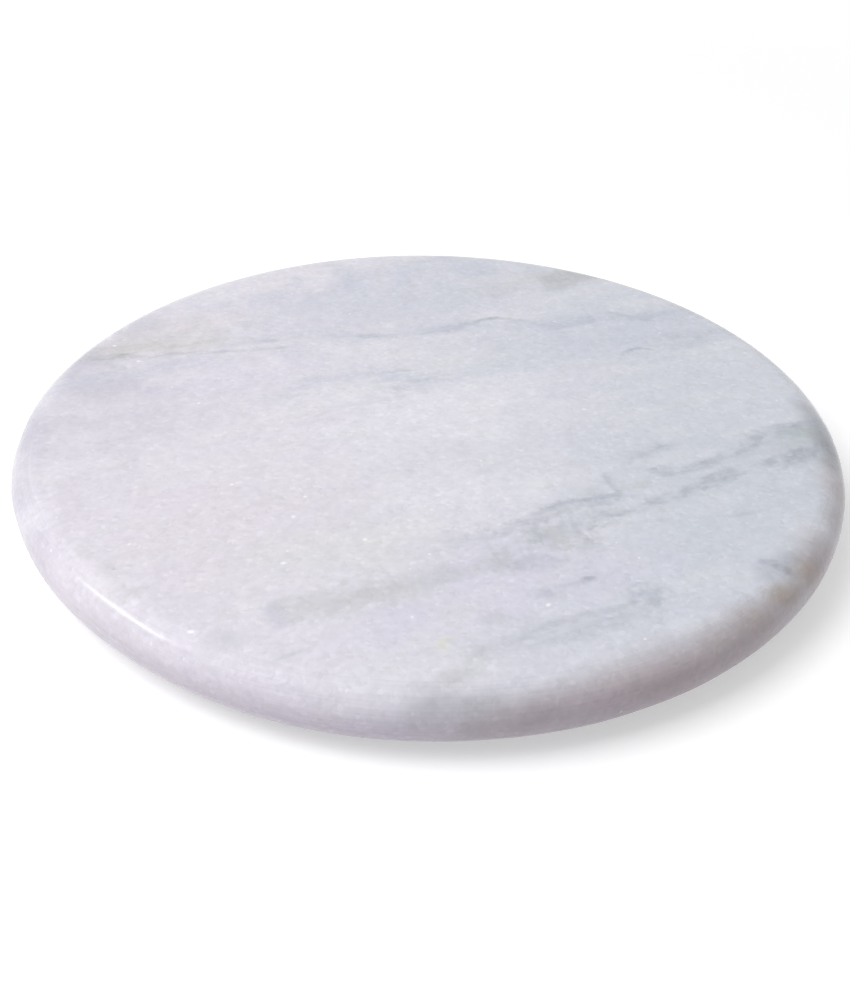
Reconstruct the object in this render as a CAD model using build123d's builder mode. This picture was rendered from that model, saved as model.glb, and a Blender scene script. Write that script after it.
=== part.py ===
from build123d import *
import math
import os

# A chakla: a round stone board on which flatbread dough is rolled out by hand.
# Millimetres, +Z up. The origin is on the worktop, under the middle of the board.

# The marble slab, measured across its widest ring
board_diameter = 254.0

# Its hand-ground rim, from the top down: a wide round, a narrow upright band, a tighter round
top_round_width = 9.0
top_round_height = 8.6
rim_band_height = 0.9
lower_round_width = 7.5
lower_round_height = 9.6

# The sawn underside stops the lower round this far short, in an eased arris
arris_height = 1.1
arris_ease = 1.2

# The rubber feet, moulded wider at the head, each with a shallow dish in its sole
foot_head_diameter = 22.0
foot_sole_diameter = 19.0
foot_height = 6.0
foot_edge_round = 0.9
sole_ring_width = 4.5
sole_dish_depth = 1.0
dish_edge_round = 0.3
foot_to_arris_gap = 20.0

# The glue under the slab, squeezed out round the head of each foot
glue_thickness = 0.5
glue_spread = 1.1

# The feet stand evenly round the board, named in the order of their turns from +X
foot_places = ["back_right", "back_left", "front_left", "front_right"]

# Heights above the worktop
slab_underside = foot_height + glue_thickness
band_bottom = slab_underside + lower_round_height - arris_height
band_top = band_bottom + rim_band_height
slab_top = band_top + top_round_height

# Distances from the board's axis
board_radius = board_diameter / 2
rolling_radius = board_radius - top_round_width
lower_round_centre = board_radius - lower_round_width
lower_round_turn = math.asin(1 - arris_height / lower_round_height)
underside_radius = lower_round_centre + lower_round_width * math.cos(lower_round_turn)
foot_circle_radius = underside_radius - foot_to_arris_gap - foot_head_diameter / 2

os.makedirs("parts", exist_ok=True)

# The slab is half of its section, turned about the board's axis
with BuildPart() as slab:
    with BuildSketch(Plane.XZ):
        with BuildLine():
            Polyline(
                (rolling_radius, slab_top),
                (0, slab_top),
                (0, slab_underside),
                (underside_radius, slab_underside),
            )
            EllipticalCenterArc(
                (lower_round_centre, band_bottom),
                lower_round_width,
                lower_round_height,
                start_angle=-math.degrees(lower_round_turn),
                arc_size=math.degrees(lower_round_turn),
            )
            Line((board_radius, band_bottom), (board_radius, band_top))
            EllipticalCenterArc((rolling_radius, band_top), top_round_width, top_round_height)
        make_face()
    revolve(axis=Axis.Z)
    arris = slab.edges().filter_by(GeomType.CIRCLE).group_by(Axis.Z)[0]
    fillet(arris, arris_ease)
slab.part.label = "marble_slab"
export_step(slab.part, "parts/marble_slab.step")


def level_plane(turn, height):
    """A level plane centred on the foot that stands at this turn, this high above the worktop."""
    x = foot_circle_radius * math.cos(turn)
    y = foot_circle_radius * math.sin(turn)
    return Plane(origin=(x, y, height))


for number, place in enumerate(foot_places):
    turn = math.tau * (number + 0.5) / len(foot_places)

    # Only the ring round the dish grips the worktop
    with BuildPart() as foot:
        with BuildSketch(level_plane(turn, 0)):
            Circle(foot_sole_diameter / 2)
        with BuildSketch(level_plane(turn, foot_height)):
            Circle(foot_head_diameter / 2)
        loft()
        sole_edge = foot.edges().group_by(Axis.Z)[0]
        fillet(sole_edge, foot_edge_round)
        with BuildSketch(level_plane(turn, 0)):
            Circle(foot_sole_diameter / 2 - sole_ring_width)
        extrude(amount=sole_dish_depth, mode=Mode.SUBTRACT)
        dish_edge = foot.edges().group_by(Axis.Z)[0].sort_by(SortBy.LENGTH)[0]
        fillet(dish_edge, dish_edge_round)
    foot.part.label = f"foot_{place}"
    export_step(foot.part, f"parts/foot_{place}.step")

    # The glue holds the whole head and spreads where it meets the stone
    with BuildPart() as glue:
        with BuildSketch(level_plane(turn, foot_height)):
            Circle(foot_head_diameter / 2)
        with BuildSketch(level_plane(turn, slab_underside)):
            Circle(foot_head_diameter / 2 + glue_spread)
        loft()
    glue.part.label = f"glue_{place}"
    export_step(glue.part, f"parts/glue_{place}.step")

print("slab", round(slab_top - slab_underside, 2), "mm thick,", round(slab.part.volume), "mm3")
print("board", round(slab_top, 2), "mm high, its underside", round(underside_radius, 2), "mm in radius")
print("feet centred", round(foot_circle_radius, 2), "mm from the board's axis")
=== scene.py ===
# %% [markdown]
# # A marble chakla
# A chakla is the round board on which flatbread dough is rolled out. This one is a disc of
# white marble, sawn, polished on top and ground by hand round its rim, on four rubber feet.
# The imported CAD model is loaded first, as a fixed frame: it says where every piece is and how
# large. Each step below dresses one piece of it, in metres, without moving anything.

import math
import random

import bmesh
import bpy
from mathutils import Matrix, Vector, kdtree, noise


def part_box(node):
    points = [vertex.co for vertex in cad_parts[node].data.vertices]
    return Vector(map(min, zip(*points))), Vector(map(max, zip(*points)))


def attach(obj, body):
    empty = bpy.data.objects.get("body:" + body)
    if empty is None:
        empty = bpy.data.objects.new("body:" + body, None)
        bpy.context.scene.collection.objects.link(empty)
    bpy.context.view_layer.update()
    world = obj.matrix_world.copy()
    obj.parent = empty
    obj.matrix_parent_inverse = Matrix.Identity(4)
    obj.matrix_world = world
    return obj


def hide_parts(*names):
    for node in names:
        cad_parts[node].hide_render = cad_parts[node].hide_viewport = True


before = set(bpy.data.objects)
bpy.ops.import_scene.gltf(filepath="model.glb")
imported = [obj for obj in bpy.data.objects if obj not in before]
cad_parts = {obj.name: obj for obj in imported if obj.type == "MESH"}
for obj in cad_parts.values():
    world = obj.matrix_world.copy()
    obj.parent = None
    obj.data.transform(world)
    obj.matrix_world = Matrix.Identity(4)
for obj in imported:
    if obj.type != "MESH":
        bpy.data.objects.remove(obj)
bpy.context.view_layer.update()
MM = 0.001
print("CAD nodes:", sorted(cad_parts))

# %% [markdown]
# ## Camera
# The board fills a tall frame from edge to edge, seen from about a third of a right angle
# above. A camera could be placed by eye, but here its height, distance, tilt and slight roll
# were fitted to the outline of the photographed board.
# It stands close, which makes the near rim look larger than the far one.

# %% Place the camera
lens_mm = 45.0
sensor_mm = 36.0
camera_back = 335.5 * MM
camera_height = 225.3 * MM
camera_tilt = math.radians(34.8)
camera_turn = math.radians(0.23)
camera_roll = math.radians(1.04)
nearest_seen = 10 * MM


def in_scene(name, data):
    """An object of the scene that shows a camera, a lamp or a mesh."""
    new = bpy.data.objects.new(name, data)
    bpy.context.scene.collection.objects.link(new)
    return new


camera_data = bpy.data.cameras.new("camera")
camera_data.lens = lens_mm
camera_data.sensor_width = sensor_mm
camera_data.clip_start = nearest_seen
camera = in_scene("camera", camera_data)
aim = Matrix.Rotation(camera_turn, 4, "Z") @ Matrix.Rotation(math.pi / 2 - camera_tilt, 4, "X")
spot = Matrix.Translation((0, -camera_back, camera_height))
camera.matrix_world = spot @ aim @ Matrix.Rotation(camera_roll, 4, "Z")
bpy.context.scene.camera = camera
bpy.context.scene.view_settings.view_transform = "Standard"
print("camera at", [round(c, 3) for c in camera.matrix_world.translation])

# %% [markdown]
# ## Short names for node work
# A shader is a tree of nodes, and each one takes three or four lines to make, fill and link.
# These helpers say the same in one line: a value is either a plain number or the socket of an
# earlier node, and the helper links or fills as needed.

# %% Helpers for nodes


def fill(tree, socket, value):
    """Links a socket to an earlier one, or writes a plain value in it."""
    if isinstance(value, bpy.types.NodeSocket):
        tree.links.new(value, socket)
    else:
        socket.default_value = value


def fill_all(tree, node, inputs):
    """Fills a node's inputs, by name or number."""
    for name, value in inputs.items():
        fill(tree, node.inputs[name], value)


def add(tree, kind, inputs=None, **settings):
    """Adds a node of a kind, sets its properties and fills its inputs."""
    new = tree.nodes.new("ShaderNode" + kind)
    for name, value in settings.items():
        setattr(new, name, value)
    fill_all(tree, new, inputs or {})
    return new


# %% Helpers for sums


def maths(tree, operation, *values):
    """The result of a Math node."""
    return add(tree, "Math", dict(enumerate(values)), operation=operation).outputs[0]


def times(tree, first, second):
    """A product."""
    return maths(tree, "MULTIPLY", first, second)


def times_plus(tree, first, second, rest):
    """A product with a third value added to it."""
    return maths(tree, "MULTIPLY_ADD", first, second, rest)


def centred(tree, value):
    """A value from 0 to 1, moved down so that its middle is 0."""
    return maths(tree, "SUBTRACT", value, 0.5)


def vectors(tree, operation, *values):
    """The result of a Vector Math node."""
    return add(tree, "VectorMath", dict(enumerate(values)), operation=operation).outputs["Vector"]


def scaled(tree, vector, factor):
    """A vector made longer or shorter."""
    return add(tree, "VectorMath", {0: vector, "Scale": factor}, operation="SCALE").outputs["Vector"]


def length(tree, vector):
    """How long a vector is."""
    return add(tree, "VectorMath", {0: vector}, operation="LENGTH").outputs["Value"]


def turned(tree, vector, angle):
    """A vector turned about the upright axis."""
    return add(tree, "VectorRotate", {"Vector": vector, "Angle": angle}, rotation_type="Z_AXIS").outputs[0]


def parts(tree, vector):
    """A vector's X, Y and Z."""
    return add(tree, "SeparateXYZ", {0: vector}).outputs


# %% Helpers for colours and patterns


def step(tree, value, low, high, to_low=0.0, to_high=1.0):
    """A smooth step: to_low below low, to_high above high."""
    ends = {"Value": value, "From Min": low, "From Max": high, "To Min": to_low, "To Max": to_high}
    return add(tree, "MapRange", ends, interpolation_type="SMOOTHSTEP").outputs["Result"]


def layer(tree, share, below, above, mode="MIX"):
    """Lays one colour over another by a share."""
    colours = {"Factor": share, 6: below, 7: above}
    return add(tree, "Mix", colours, data_type="RGBA", blend_type=mode).outputs[2]


def speckle(tree, position, scale, detail=2.0, roughness=0.5, **more):
    """A noise from 0 to 1; scale counts features in one unit of the position."""
    inputs = {"Vector": position, "Scale": scale, "Detail": detail, "Roughness": roughness}
    return add(tree, "TexNoise", inputs, **more).outputs["Fac"]


def cell_pattern(tree, position, scale):
    """A cell texture's outputs; scale counts cells in one unit of the position."""
    return add(tree, "TexVoronoi", {"Vector": position, "Scale": scale}).outputs


def one_channel(tree, tint, number):
    """One of the three channels of a colour, by number."""
    return add(tree, "SeparateColor", {0: tint}).outputs[number]


def tone(red, green, blue):
    """A colour as a picture shows it, 0 to 255 a channel, in the linear light that shaders take."""
    shares = [channel / 255 for channel in (red, green, blue)]
    return (*[c / 12.92 if c < 0.04045 else ((c + 0.055) / 1.055) ** 2.4 for c in shares], 1.0)


# %% Helpers for materials and groups


def new_material(name):
    """A node material, its tree and its Principled shader."""
    material = bpy.data.materials.new(name)
    material.use_nodes = True
    return material, material.node_tree, material.node_tree.nodes["Principled BSDF"]


def new_group(name, inputs, outputs):
    """A shader node group; inputs give a default each, outputs the kind of socket each."""
    group = bpy.data.node_groups.new(name, "ShaderNodeTree")
    for socket_name, default in inputs.items():
        kind = "NodeSocketFloat" if isinstance(default, float) else "NodeSocketVector"
        socket = group.interface.new_socket(socket_name, in_out="INPUT", socket_type=kind)
        socket.default_value = default
    for socket_name, kind in outputs.items():
        group.interface.new_socket(socket_name, in_out="OUTPUT", socket_type="NodeSocket" + kind)
    return group, group.nodes.new("NodeGroupInput").outputs, group.nodes.new("NodeGroupOutput").inputs


def place(tree, group, inputs):
    """Puts a group in a tree, fills its inputs and gives its outputs."""
    return add(tree, "Group", inputs, node_tree=group).outputs


def raise_surface(tree, shader, relief):
    """Sends heights in millimetres to a shader, which tilts its surface to them."""
    bump = add(tree, "Bump", {"Height": relief, "Distance": MM, "Strength": 1.0})
    fill(tree, shader.inputs["Normal"], bump.outputs["Normal"])


# %% [markdown]
# ## Stage and light
# The board stands on a wide pale sheet. A soft box high at the front left gives the stone its
# broad light, and a small lamp lower on the left draws the bright line along the shoulder of
# the rim. The sky is even and fills the shade. More light would whiten the sheet, but it would
# also bleach the stone, so the sheet glows a little for the camera alone, and keeps the shadow.
# Further out it fades into the white of the sky, so that no horizon shows from any side.
# A white sheet would also fill the shade under the rim. The board was photographed on a duller
# worktop, so the sheet throws back less light than it shows, and a slightly pink one.

# %% Sheet and sky
sheet_half = 3.0
fade_starts = 0.28
fade_ends = 0.8
sheet_glow = 0.46
sheet_bounce = (200, 191, 200)
sheet_fleck_scale = 260.0
sky_strength = 0.36
white = (1, 1, 1, 1)
black = (0, 0, 0, 1)

shape = bmesh.new()
bmesh.ops.create_grid(shape, x_segments=1, y_segments=1, size=sheet_half)
sheet_mesh = bpy.data.meshes.new("sheet")
shape.to_mesh(sheet_mesh)
shape.free()
sheet = in_scene("sheet", sheet_mesh)


def seen_directly(tree):
    """1 on what is seen, straight on, in a reflection or through glass, and 0 on what only lights."""
    rays = add(tree, "LightPath").outputs
    seen = maths(tree, "MAXIMUM", rays["Is Camera Ray"], rays["Is Glossy Ray"])
    return maths(tree, "MAXIMUM", seen, rays["Is Transmission Ray"])


sheet_material, tree, shader = new_material("pale_sheet")
on_sheet = add(tree, "TexCoord").outputs["Object"]
flecks = speckle(tree, on_sheet, sheet_fleck_scale, 3.0)
paper = layer(tree, flecks, tone(214, 214, 216), tone(219, 219, 220))
faded = step(tree, length(tree, on_sheet), fade_starts, fade_ends)
seen = seen_directly(tree)
fill_all(tree, shader, {
    "Base Color": layer(tree, seen, tone(*sheet_bounce), layer(tree, faded, paper, black)),
    "Emission Color": white,
    "Emission Strength": times(tree, seen, times_plus(tree, faded, 1 - sheet_glow, sheet_glow)),
    "Roughness": 0.9,
    "Specular IOR Level": 0.1,
})
sheet_mesh.materials.append(sheet_material)

sky = bpy.data.worlds.new("sky")
sky.use_nodes = True
bpy.context.scene.world = sky
background = sky.node_tree.nodes["Background"]
background.inputs["Color"].default_value = white
strength = step(sky.node_tree, seen_directly(sky.node_tree), 0, 1, sky_strength, 1.0)
fill(sky.node_tree, background.inputs["Strength"], strength)
print("sheet", 2 * sheet_half, "m wide, sky", sky_strength)

# %% Lamps


def lamp(name, turn, rise, distance, width, height, watts, mirrored):
    """An area lamp facing the board, by its turn from +X and its rise; a mirrored one only glints."""
    data = bpy.data.lights.new(name, "AREA")
    data.shape = "RECTANGLE"
    data.size = width
    data.size_y = height
    data.energy = watts
    new = in_scene(name, data)
    level = math.cos(math.radians(rise))
    side = math.radians(turn)
    out = Vector((math.cos(side) * level, math.sin(side) * level, math.sin(math.radians(rise))))
    facing_board = out.to_track_quat("Z", "Y").to_matrix().to_4x4()
    new.matrix_world = Matrix.Translation(out * distance) @ facing_board
    new.visible_glossy = mirrored
    new.visible_diffuse = not mirrored
    print(name, [round(c, 2) for c in out * distance], watts, "W")


lamp("soft_box", turn=205, rise=55, distance=1.8, width=1.1, height=1.1, watts=25.0, mirrored=False)
lamp("shoulder_lamp", turn=190, rise=31, distance=0.9, width=0.34, height=0.03, watts=1.0, mirrored=True)

# %% [markdown]
# ## The stone as a block
# Marble is patterned all through, so its colour belongs to the block and not to the surface:
# a vein that crosses the top runs on down the rim and shows again underneath. A picture
# wrapped on the disc would stretch at the rim. Here every point of the slab has a place in the
# block, in millimetres, turned to the way the beds run, dipped and warped by noise. All the
# veins and clouds read that one place, so they bend together, as real beds do.

# %% Where a point lies in the block
slab_low, slab_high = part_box("marble_slab")
bed_heading = math.radians(22)
bed_dip_share = 0.5
warp_sizes_mm = {38.0: 1.0, 9.0: 0.9, 2.6: 0.4}


def millimetres(tree):
    """A point's place on its piece, in millimetres."""
    return scaled(tree, add(tree, "TexCoord").outputs["Object"], 1 / MM)


def place_in_block(tree, point):
    """A point's place along the beds, across them and up, bent by the warp."""
    axes = parts(tree, turned(tree, point, -bed_heading))
    under_top = maths(tree, "SUBTRACT", axes["Z"], slab_high.z / MM)
    dipped = times_plus(tree, under_top, bed_dip_share, axes["Y"])
    bed = add(tree, "CombineXYZ", {"X": axes["X"], "Y": dipped, "Z": axes["Z"]}).outputs[0]
    for size_mm, push_mm in warp_sizes_mm.items():
        three_noises = speckle(tree, point, 1 / size_mm, 1.0).node.outputs["Color"]
        swirl = vectors(tree, "SUBTRACT", three_noises, (0.5, 0.5, 0.5))
        bed = vectors(tree, "MULTIPLY_ADD", swirl, (2 * push_mm,) * 3, bed)
    return bed


def along_and_across(x, y):
    """A plan place on the board's top, in millimetres along and across the beds."""
    along = x * math.cos(bed_heading) + y * math.sin(bed_heading)
    return along, y * math.cos(bed_heading) - x * math.sin(bed_heading)


print("the beds run", round(math.degrees(bed_heading)), "degrees off +X and dip", bed_dip_share)

# %% [markdown]
# ## One vein
# A vein here is a sheet of another mineral on edge in the block, so seen from above it is a
# band: it wanders, swells, thins out and ends. One RGB Curves node holds all that. Read along
# the beds, its red curve is the middle of the vein, green its half width and blue its
# strength. The points are a few listed places, written as the plan of the board. A
# vein in marble is no crack: its edge frays between the crystals and its body is patchy.

# %% The vein band
vein_span_mm = 300.0
widest_vein_mm = 24.0
thinnest_vein_mm = 0.05
vein_fray = 0.45
edge_reach = 1.2
core_reach = 0.1

band, given, gives = new_group(
    "vein_band",
    {"Across": 0.0, "Course": (0, 0, 0), "Fray": 0.5, "Mottle": 0.5, "Patchiness": 0.5},
    {"Vein": "Float"},
)
course = parts(band, given["Course"])
middle = times(band, centred(band, course["X"]), vein_span_mm)
half_width = maths(band, "MAXIMUM", times(band, course["Y"], widest_vein_mm), thinnest_vein_mm)
off_middle = maths(band, "ABSOLUTE", maths(band, "SUBTRACT", given["Across"], middle))
reach = maths(band, "DIVIDE", off_middle, half_width)
frayed = times_plus(band, centred(band, given["Fray"]), vein_fray, reach)
light_and_dark = times(band, centred(band, given["Mottle"]), 2.0)
mottled = times_plus(band, light_and_dark, given["Patchiness"], 1.0)
body_of_vein = times(band, step(band, frayed, edge_reach, core_reach), mottled)
fill(band, gives["Vein"], times(band, body_of_vein, course["Z"]))


def vein(tree, along, across, course, patchiness, **noises):
    """A vein's share at each point; course lists (x, y, half width in mm, strength) along it."""
    curves = add(tree, "RGBCurve", {"Color": along})
    curves.mapping.extend = "HORIZONTAL"
    readings = []
    for x, y, half, strong in course:
        shares = [0.5 + distance / vein_span_mm for distance in along_and_across(x, y)]
        readings.append((*shares, half / widest_vein_mm, strong))
    for number in range(3):
        points = curves.mapping.curves[number].points
        points[0].location = (readings[0][0], readings[0][number + 1])
        points[1].location = (readings[-1][0], readings[-1][number + 1])
        for reading in readings[1:-1]:
            points.new(reading[0], reading[number + 1])
    curves.mapping.update()
    inputs = {"Across": across, "Course": curves.outputs[0], "Patchiness": patchiness}
    return place(tree, band, inputs | noises)["Vein"]


# %% [markdown]
# ## One cloud
# Between the veins the stone is clouded with stains: warm where iron has seeped in, olive and
# grey near the veins, cool in the clean parts. Plain noise would put them anywhere. A cloud
# here is a soft ellipsoid at a place of its own in the block, frayed by noise, so that each
# stain can lie where the real board has it.

# %% The stain cloud
cloud_depth_mm = 45.0
cloud_fray = 0.7

cloud, given, gives = new_group(
    "stain_cloud",
    {"Bed": (0, 0, 0), "Middle": (0, 0, 0), "Size": (1, 1, 1), "Fray": 0.5},
    {"Cloud": "Float"},
)
offset = vectors(cloud, "SUBTRACT", given["Bed"], given["Middle"])
reach = length(cloud, vectors(cloud, "DIVIDE", offset, given["Size"]))
frayed = times_plus(cloud, centred(cloud, given["Fray"]), cloud_fray, reach)
fill(cloud, gives["Cloud"], step(cloud, frayed, edge_reach, core_reach))


def stain(tree, bed, fray, x, y, half_along, half_across):
    """A cloud's share at each point, centred on a plan place, with its half sizes in millimetres."""
    middle = (*along_and_across(x, y), slab_high.z / MM)
    size = (half_along, half_across, cloud_depth_mm)
    return place(tree, cloud, {"Bed": bed, "Middle": middle, "Size": size, "Fray": fray})["Cloud"]


# %% [markdown]
# ## Crystals
# Close up, white marble is a mass of calcite crystals about a millimetre across. Each one
# takes the light a little differently, so the stone looks like sugar. A few lie so that a flat
# face flashes, and that flash is painted into the colour as a white spot, a painted sparkle.
# Voronoi cells are the natural pattern for grains that grew until they met.

# %% The crystal grain
crystal_mm = 1.3
crystal_clump_mm = 2.6
clump_patch_mm = 6.0
crystal_weight = 0.55
clump_weight = 1.4
patch_weight = 0.9
brightest_lift = 0.3
darkest_lift = -0.15
sparkle_spacing_mm = 6.5
sparkle_mm = 0.6
sparkling_share = 0.25
painted_sparkle_strength = 0.6

grain, given, gives = new_group(
    "crystal_grain", {"Place": (0, 0, 0)}, {"Tint": "Float", "Painted Sparkle": "Float"}
)
crystal_tint = one_channel(grain, cell_pattern(grain, given["Place"], 1 / crystal_mm)["Color"], 0)
brightest = step(grain, crystal_tint, 0.92, 0.98, 0.0, brightest_lift)
darkest = step(grain, crystal_tint, 0.02, 0.07, darkest_lift, 0.0)
clumps = speckle(grain, given["Place"], 1 / crystal_clump_mm, 3.0, 0.6)
clump_patches = speckle(grain, given["Place"], 1 / clump_patch_mm, 2.0)
sugar = times_plus(grain, crystal_tint, crystal_weight, maths(grain, "ADD", brightest, darkest))
sugar = times_plus(grain, clumps, clump_weight, sugar)
fill(grain, gives["Tint"], times_plus(grain, clump_patches, patch_weight, sugar))

# Painted sparkle: in a few cells a white spot is painted into the colour, where a flat crystal face would
# glint.
faces = cell_pattern(grain, given["Place"], 1 / sparkle_spacing_mm)
lucky = maths(grain, "GREATER_THAN", one_channel(grain, faces["Color"], 1), 1 - sparkling_share)
sparkle_reach = sparkle_mm / sparkle_spacing_mm
near = step(grain, faces["Distance"], sparkle_reach, 0.4 * sparkle_reach, 0.0, painted_sparkle_strength)
fill(grain, gives["Painted Sparkle"], times(grain, lucky, near))
print("crystals", crystal_mm, "mm, a sparkle in", round(1 / sparkling_share, 1), "cells")

# %% [markdown]
# ## The marble's colour
# The colour is built up as a painter would: a ground that is warmer and lighter on the left
# and cooler and darker on the right, partly painted shade, broad clouds stretched along the
# beds, then stains, some of them painted shade on the rim, then the veins from faint to strong,
# and the crystals last, with painted glints. It is one group with the finished colour as its
# output, so the slab's shader only has to add polish.

# %% The ground colour of the block
ground_patch_mm = 30
milky_patch_mm = 13
most_milk = 0.4
border_wander_mm = 90.0
warm_up_to_mm = -20
cool_from_mm = 135

colour, given, gives = new_group(
    "marble_colour",
    {"Place": (0, 0, 0)},
    {"Color": "Color", "Vein": "Float", "Painted Sparkle": "Float"},
)
bed = place_in_block(colour, given["Place"])
stretched = vectors(colour, "MULTIPLY", bed, (0.4, 1.0, 0.6))

# Painted shade: the ground turns cooler and darker towards the right, partly the stone's own cool tone and
# partly painted shade where the light from the left falls off.
warm_white = tone(226, 222, 232)
cool_shaded_white = tone(212, 215, 225)
pale_white = tone(230, 229, 234)
broad = speckle(colour, stretched, 1 / ground_patch_mm, 3.0, 0.55)
left_to_right = times_plus(colour, broad, border_wander_mm, parts(colour, given["Place"])["X"])
coolness_and_shade = step(colour, left_to_right, warm_up_to_mm, cool_from_mm)
milk = speckle(colour, stretched, 1 / milky_patch_mm, 4.0, 0.6)
ground = layer(colour, coolness_and_shade, warm_white, cool_shaded_white)
ground = layer(colour, step(colour, milk, 0.4, 0.7, 0.0, most_milk), ground, pale_white)

# %% The noises that veins and stains share
fine_fray_mm = 3.0
broad_fray_mm = 14

axes = parts(colour, bed)
along = times_plus(colour, axes["X"], 1 / vein_span_mm, 0.5)
across = axes["Y"]


def mottle(stretch, thread_mm, blotch_mm):
    """The light and dark in a vein's body: threads and blotches, drawn out along the beds."""
    drawn = vectors(colour, "MULTIPLY", bed, (1 / stretch, 1.0, 0.5))
    threads = step(colour, speckle(colour, drawn, 1 / thread_mm, 3.0, 0.6), 0.3, 0.7)
    blotches = step(colour, speckle(colour, drawn, 1 / blotch_mm, 2.0), 0.35, 0.65)
    return times_plus(colour, threads, 0.5, times(colour, blotches, 0.5))


streaky = mottle(stretch=4.5, thread_mm=1.6, blotch_mm=4.0)
broken = mottle(stretch=2.0, thread_mm=1.9, blotch_mm=4.0)
fine_fray = step(colour, speckle(colour, bed, 1 / fine_fray_mm, 2.0), 0.3, 0.7)
broad_fray = step(colour, speckle(colour, bed, 1 / broad_fray_mm, 4.0, 0.6), 0.3, 0.7)

milk_white = tone(240, 238, 246)
violet = tone(213, 209, 230)
pale_yellow = tone(230, 228, 208)
pale_green = tone(222, 224, 222)
steel = tone(202, 209, 218)
blue_cloud = tone(197, 203, 217)
olive = tone(190, 189, 180)
rose = tone(228, 214, 221)
umber = tone(160, 131, 124)
tan = tone(164, 140, 110)
ash = tone(174, 176, 180)
lilac_grey = tone(164, 162, 180)
teal = tone(160, 174, 177)
smoke = tone(128, 128, 132)
green_grey = tone(170, 176, 170)
slate = tone(164, 170, 182)
graphite = tone(120, 126, 138)


def lay_stains_and_painted_light(ground, fray, stains):
    """Lays stains, painted shade and painted glints over the ground: tone, strength, and (x, y, half along,
    half across) in mm.
    """
    for stain_tone, strength, patch in stains:
        share = times(colour, stain(colour, bed, fray, *patch), strength)
        ground = layer(colour, share, ground, stain_tone)
    print(len(stains), "stains")
    return ground


# %% Broad stains, with painted shade on the right
ground = lay_stains_and_painted_light(ground, broad_fray, [
    (lilac_grey, 0.2, (-112, 4, 52, 48)),
    (lilac_grey, 0.22, (-103, 16, 20, 13)),
    (blue_cloud, 0.5, (-20, 78, 80, 34)),
    (blue_cloud, 0.45, (10, 112, 75, 14)),
    (olive, 0.18, (30, 96, 26, 13)),
    (olive, 0.25, (-92, 47, 32, 12)),
    (rose, 0.25, (-78, 60, 22, 10)),
    (rose, 0.2, (-60, -62, 60, 34)),
    (pale_green, 0.45, (-24, -70, 36, 17)),
    (pale_green, 0.2, (10, 30, 30, 14)),
    (violet, 0.34, (30, -79, 36, 22)),
    (milk_white, 0.4, (4, 2, 50, 30)),
    (milk_white, 0.35, (10, -44, 36, 17)),
    (violet, 0.3, (-8, -103, 18, 9)),
    (violet, 0.25, (-70, 20, 30, 16)),
    (blue_cloud, 0.45, (66, 58, 56, 24)),
    # Steel over the right of the top: a cool tint that also paints the shade on that side.
    (steel, 0.5, (95, -40, 46, 40)),
    (slate, 0.22, (106, -16, 18, 12)),
    (teal, 0.5, (112, -8, 13, 8)),
    (green_grey, 0.3, (117, -5, 6, 4)),
    (ash, 0.6, (60, 105, 26, 8)),
])

# %% Small stains
ground = lay_stains_and_painted_light(ground, fine_fray, [
    (green_grey, 0.34, (19.5, -74.5, 7, 5.6)),
    (green_grey, 0.36, (35, -63.5, 11, 8)),
    (slate, 0.15, (31, -76.5, 6, 3)),
    (slate, 0.25, (29.5, -63.5, 3.6, 6.5)),
    (slate, 0.22, (43, -67, 4.5, 5)),
    (slate, 0.42, (52.3, -36.5, 1.6, 7.5)),
    (olive, 0.25, (60, -38, 5, 3)),
    (olive, 0.2, (46, -42, 4, 2)),
    (graphite, 0.4, (41.6, -82.4, 2.2, 1.9)),
    (slate, 0.3, (31, -88, 3.6, 2.8)),
    (slate, 0.5, (57, -88, 6, 4.8)),
    (slate, 0.25, (53, -84, 2.4, 2.2)),
    (ash, 0.25, (12.7, -111.7, 5, 4.6)),
    (ash, 0.2, (17, -98, 4.5, 3.6)),
    (pale_yellow, 0.35, (4.8, -108, 3.6, 2.8)),
    (violet, 0.4, (-38, -99, 3.5, 8)),
    (lilac_grey, 0.12, (62, -22, 8, 4)),
    (slate, 0.2, (20, 66, 4, 2)),
    (slate, 0.35, (99, -11.5, 4.6, 3.6)),
    (slate, 0.25, (69.5, -18.4, 3.6, 2.2)),
    (slate, 0.25, (94, -19.5, 4, 3)),
    (slate, 0.2, (104, -22, 4, 2.4)),
    (slate, 0.12, (107, -25.5, 3.6, 2.6)),
    (slate, 0.18, (88, -30.8, 5, 3.4)),
    (slate, 0.5, (114, -18, 5, 3.4)),
    (slate, 0.25, (55.4, 38.8, 1.6, 1.3)),
    (green_grey, 0.25, (-51, 41, 3, 1.2)),
    (graphite, 0.35, (-82, -81.7, 0.9, 0.7)),
    (graphite, 0.2, (89, -73.6, 2, 1.4)),
    (graphite, 0.3, (92.4, -74.8, 2.6, 1.6)),
    (graphite, 0.3, (94.6, -77, 1.8, 2.2)),
])
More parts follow.
